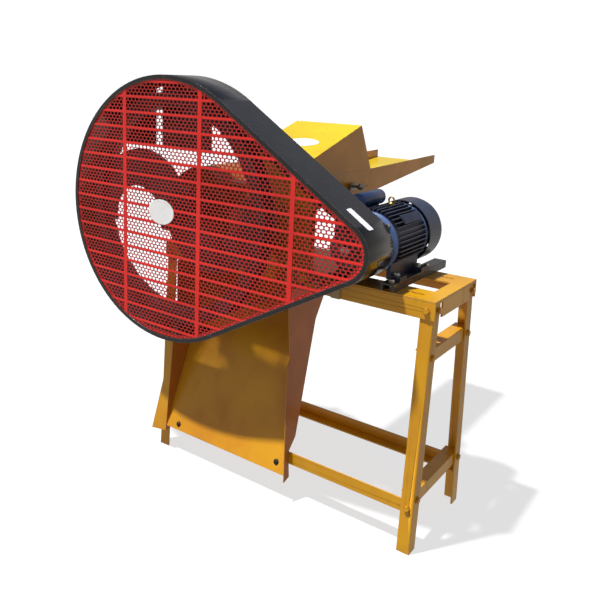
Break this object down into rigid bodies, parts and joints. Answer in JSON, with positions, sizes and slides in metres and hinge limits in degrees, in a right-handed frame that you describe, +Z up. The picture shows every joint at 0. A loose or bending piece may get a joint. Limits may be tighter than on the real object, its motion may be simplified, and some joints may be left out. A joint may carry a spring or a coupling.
{
  "type": "hammer mill",
  "caption": "Belt-driven hammer mill on an angle-iron bench: motor, flywheel behind a mesh guard, drum with swinging hammers, feed tray and hood, discharge chute.",
  "frame": {"origin": "middle of the whole object's box, on the floor", "axes": "+X along the bench from the flywheel to the motor, +Y from the guard to the feed tray's end and along both shafts, +Z up"},
  "size_m": [1.3204, 1.045, 1.3375],
  "materials": {
    "bench_yellow": "gloss enamel",
    "feed_yellow": "gloss enamel",
    "drum_orange": "gloss enamel",
    "zinc_bolt": "zinc plated",
    "bright_steel": "ground",
    "rotor_steel": "dull",
    "hammer_steel": "hardened, dark",
    "bearing_grey": "painted grey",
    "bearing_steel": "ground",
    "wheel_grey": "dark enamel",
    "pulley_iron": "turned",
    "gate_zinc": "enamel with a bright edge",
    "guard_black": "gloss black",
    "bracket_light": "primer",
    "mesh_red": "satin",
    "belt_rubber": "matt",
    "rail_black": "satin",
    "motor_blue": "satin",
    "shield_blue": "satin",
    "cover_blue": "satin",
    "fan_plastic": "moulded",
    "winding_copper": "varnished copper wire",
    "gland_plastic": "moulded",
    "capacitor_black": "moulded",
    "label_white": "printed sticker, blank",
    "brass_fitting": "dull"
  },
  "bodies": {
    "bench": {"top_plate": "bench_yellow", "front_beam": "bench_yellow", "rear_beam": "bench_yellow", "left_beam": "bench_yellow", "right_beam": "bench_yellow", "leg_front_left": "bench_yellow", "leg_front_right": "bench_yellow", "leg_rear_left": "bench_yellow", "leg_rear_right": "bench_yellow", "low_rail_front": "bench_yellow", "low_rail_rear": "bench_yellow", "low_rail_left": "bench_yellow", "low_rail_right": "bench_yellow", "mid_rail": "bench_yellow", "bench_bolts": "bench_yellow", "discharge_chute": "bench_yellow", "feed_stand": "bench_yellow", "feed_box": "feed_yellow", "hood": "feed_yellow", "feed_tray": "feed_yellow", "mill_front_plate": "drum_orange", "mill_rear_plate": "drum_orange", "mill_shell": "drum_orange", "feed_throat": "drum_orange", "mill_bolts": "zinc_bolt", "motor_bolts": "zinc_bolt", "screen": "bright_steel", "stator_core": "rotor_steel", "front_bearing": "bearing_grey", "rear_bearing": "bearing_grey", "motor_bearings": "bearing_steel", "guard_band": "guard_black", "guard_panels": "guard_black", "guard_brackets": "bracket_light", "guard_mesh": "mesh_red", "v_belts": "belt_rubber", "motor_rail_left": "rail_black", "motor_rail_right": "rail_black", "motor_frame": "motor_blue", "terminal_box": "motor_blue", "drive_end_shield": "shield_blue", "rear_end_shield": "shield_blue", "fan_cover": "cover_blue", "windings": "winding_copper", "cable_gland": "gland_plastic", "capacitor": "capacitor_black"},
    "mill_rotor": {"main_shaft": "bright_steel", "rotor_discs": "rotor_steel", "hammer_pins": "bright_steel", "flywheel": "wheel_grey", "flywheel_nut": "zinc_bolt"},
    "hammers_1": {"hammer_row_1": "hammer_steel"},
    "hammers_2": {"hammer_row_2": "hammer_steel"},
    "hammers_3": {"hammer_row_3": "hammer_steel"},
    "hammers_4": {"hammer_row_4": "hammer_steel"},
    "motor_rotor": {"motor_shaft": "bright_steel", "rotor_core": "rotor_steel", "cooling_fan": "fan_plastic", "motor_pulley": "pulley_iron"},
    "gate": {"slide_gate": "gate_zinc"}
  },
  "joints": [
    {"name": "main_spin", "type": "hinge", "parent": "bench", "child": "mill_rotor", "pos_m": [-0.22775, -0.2225, 0.905], "axis": [0, 1, 0], "continuous": true},
    {"name": "hammer_swing_1", "type": "hinge", "parent": "mill_rotor", "child": "hammers_1", "pos_m": [-0.18108, -0.2225, 0.95167], "axis": [0, 1, 0], "range_deg": [-90, 90]},
    {"name": "hammer_swing_2", "type": "hinge", "parent": "mill_rotor", "child": "hammers_2", "pos_m": [-0.27442, -0.2225, 0.95167], "axis": [0, 1, 0], "range_deg": [-90, 90]},
    {"name": "hammer_swing_3", "type": "hinge", "parent": "mill_rotor", "child": "hammers_3", "pos_m": [-0.27442, -0.2225, 0.85833], "axis": [0, 1, 0], "range_deg": [-90, 90]},
    {"name": "hammer_swing_4", "type": "hinge", "parent": "mill_rotor", "child": "hammers_4", "pos_m": [-0.18108, -0.2225, 0.85833], "axis": [0, 1, 0], "range_deg": [-90, 90]},
    {"name": "motor_spin", "type": "hinge", "parent": "bench", "child": "motor_rotor", "pos_m": [0.42825, -0.2225, 0.885], "axis": [0, 1, 0], "continuous": true},
    {"name": "gate_slide", "type": "slide", "parent": "bench", "child": "gate", "axis": [1, 0, 0], "range_m": [0, 0.09]}
  ],
  "couplings": [
    {"joint": "motor_spin", "follows": "main_spin", "ratio": 8.193}
  ]
}
